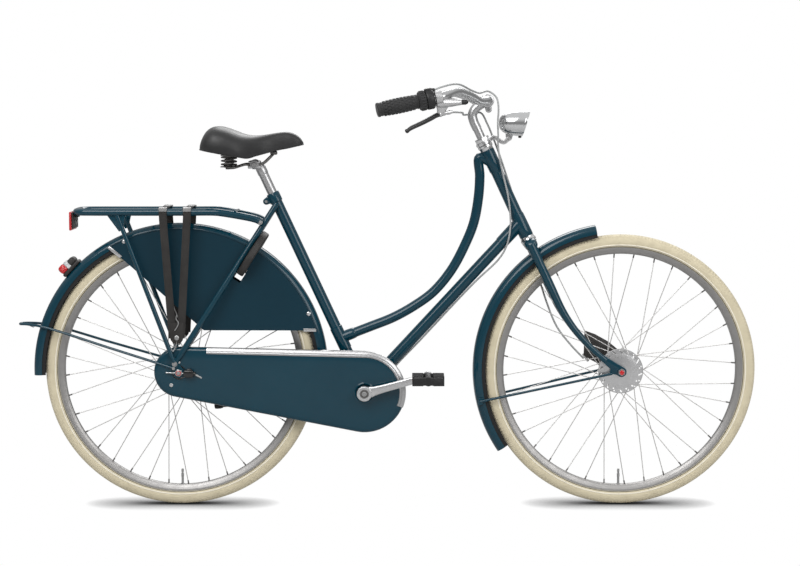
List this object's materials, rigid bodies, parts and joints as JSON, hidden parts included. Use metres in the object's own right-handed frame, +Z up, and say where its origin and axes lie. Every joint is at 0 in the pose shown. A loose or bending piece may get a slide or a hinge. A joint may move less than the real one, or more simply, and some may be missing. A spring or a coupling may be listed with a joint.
{
  "type": "dutch city bike",
  "caption": "Upright step-through city bicycle with swan-neck frame, closed chain case, coat guards, carrier, mudguards, ring lock, lamps, sprung saddle, cranks and steering.",
  "frame": {"origin": "middle of the bike's outer box, on the ground between the two wheels", "axes": "+X forwards along the bike, +Y to its left across the handlebar, +Z up"},
  "size_m": [1.9336, 0.6014, 1.101],
  "materials": {
    "frame_paint": "gloss",
    "chrome": "polished",
    "alloy": "satin",
    "rim_metal": "satin",
    "steel": "satin",
    "black_plastic": "satin",
    "coat_guard_sheet": "gloss",
    "cream_rubber": "matte",
    "black_rubber": "matte",
    "saddle_leather": "satin",
    "strap_rubber": "matte",
    "red_plastic": "gloss",
    "clear_lens": "clear",
    "cable_sheath": "satin"
  },
  "bodies": {
    "frame": {"head_tube": "frame_paint", "top_tube": "frame_paint", "down_tube": "frame_paint", "seat_tube": "frame_paint", "bottom_bracket_shell": "frame_paint", "chain_stay_left": "frame_paint", "chain_stay_right": "frame_paint", "seat_stay_left": "frame_paint", "seat_stay_right": "frame_paint", "rear_mudguard": "frame_paint", "rear_mudguard_stays": "frame_paint", "rear_carrier": "frame_paint", "luggage_straps": "strap_rubber", "rear_reflector": "red_plastic", "tail_light": "red_plastic", "coat_guard_left": "coat_guard_sheet", "coat_guard_right": "coat_guard_sheet", "chain_case_outer": "frame_paint", "chain_case_inner": "black_plastic", "chain": "steel", "shift_cable": "cable_sheath", "rear_axle": "steel", "ring_lock": "black_plastic", "shift_box": "black_plastic"},
    "steering": {"fork_crown": "chrome", "fork_blade_left": "frame_paint", "fork_blade_right": "frame_paint", "headset_locknut": "chrome", "stem": "alloy", "handlebar": "chrome", "grip_left": "black_rubber", "grip_right": "black_rubber", "brake_lever_clamp": "alloy", "front_mudguard": "frame_paint", "front_mudguard_stays": "frame_paint", "front_axle": "steel", "front_brake_plate": "alloy", "brake_cable": "cable_sheath"},
    "shifter": {"shifter": "black_plastic"},
    "brake_lever": {"brake_lever": "black_plastic"},
    "headlamp": {"headlamp_shell": "chrome", "headlamp_lens": "clear_lens"},
    "lock_shackle": {"lock_shackle": "steel"},
    "kickstand": {"kickstand": "black_plastic"},
    "front_wheel": {"front_hub": "alloy", "front_rim": "rim_metal", "front_tyre": "cream_rubber"},
    "rear_wheel": {"rear_hub": "alloy", "rear_rim": "rim_metal", "rear_tyre": "cream_rubber"},
    "rear_sprocket": {"rear_sprocket": "steel"},
    "crank": {"crank_right": "alloy", "crank_left": "alloy"},
    "pedal_right": {"pedal_right": "black_rubber"},
    "pedal_left": {"pedal_left": "black_rubber"},
    "seatpost": {"seatpost": "alloy", "saddle_cover": "saddle_leather", "saddle_rails": "black_plastic", "saddle_spring_left": "black_plastic", "saddle_spring_right": "black_plastic"}
  },
  "joints": [
    {"name": "steering_turn", "type": "hinge", "parent": "frame", "child": "steering", "pos_m": [0.36454, 0, 0.70515], "axis": [-0.4226, 0, 0.9063], "range_deg": [-65, 65], "deforming": ["shift_cable"]},
    {"name": "front_wheel_spin", "type": "hinge", "parent": "steering", "child": "front_wheel", "pos_m": [0.60911, 0, 0.35578], "axis": [0, 1, 0], "continuous": true},
    {"name": "rear_wheel_spin", "type": "hinge", "parent": "frame", "child": "rear_wheel", "pos_m": [-0.53889, 0, 0.35578], "axis": [0, 1, 0], "continuous": true},
    {"name": "crank_spin", "type": "hinge", "parent": "frame", "child": "crank", "pos_m": [-0.05809, 0, 0.30368], "axis": [0, 1, 0], "continuous": true},
    {"name": "rear_sprocket_spin", "type": "hinge", "parent": "frame", "child": "rear_sprocket", "pos_m": [-0.53889, 0, 0.35578], "axis": [0, 1, 0], "continuous": true},
    {"name": "pedal_right_spin", "type": "hinge", "parent": "crank", "child": "pedal_right", "pos_m": [0.10596, -0.141, 0.34825], "axis": [0, 1, 0], "continuous": true},
    {"name": "pedal_left_spin", "type": "hinge", "parent": "crank", "child": "pedal_left", "pos_m": [-0.22214, 0.141, 0.25911], "axis": [0, 1, 0], "continuous": true},
    {"name": "seatpost_slide", "type": "slide", "parent": "frame", "child": "seatpost", "axis": [-0.4226, 0, 0.9063], "range_m": [-0.05, 0.06]},
    {"name": "kickstand_swing", "type": "hinge", "parent": "frame", "child": "kickstand", "pos_m": [-0.11389, 0.02, 0.28188], "axis": [0.1681, -0.9858, 0], "range_deg": [0, 122]},
    {"name": "lock_turn", "type": "hinge", "parent": "frame", "child": "lock_shackle", "pos_m": [-0.35285, 0, 0.65435], "axis": [-0.8432, 0, 0.5376], "range_deg": [0, 95]},
    {"name": "shifter_twist", "type": "hinge", "parent": "steering", "child": "shifter", "pos_m": [0.11017, -0.26, 1.06143], "axis": [-0.9653, -0.1669, -0.201], "range_deg": [-30, 30]},
    {"name": "brake_lever_pull", "type": "hinge", "parent": "steering", "child": "brake_lever", "pos_m": [0.13356, -0.23923, 1.02524], "axis": [-0.2322, 0.9008, 0.367], "range_deg": [0, 25], "stiffness_Nm_per_rad": 1.5, "springref_deg": -17.19},
    {"name": "headlamp_tilt", "type": "hinge", "parent": "steering", "child": "headlamp", "pos_m": [0.31661, 0, 0.9606], "axis": [0, 1, 0], "range_deg": [-15, 15]}
  ],
  "couplings": [
    {"joint": "rear_sprocket_spin", "follows": "crank_spin", "ratio": 2}
  ]
}
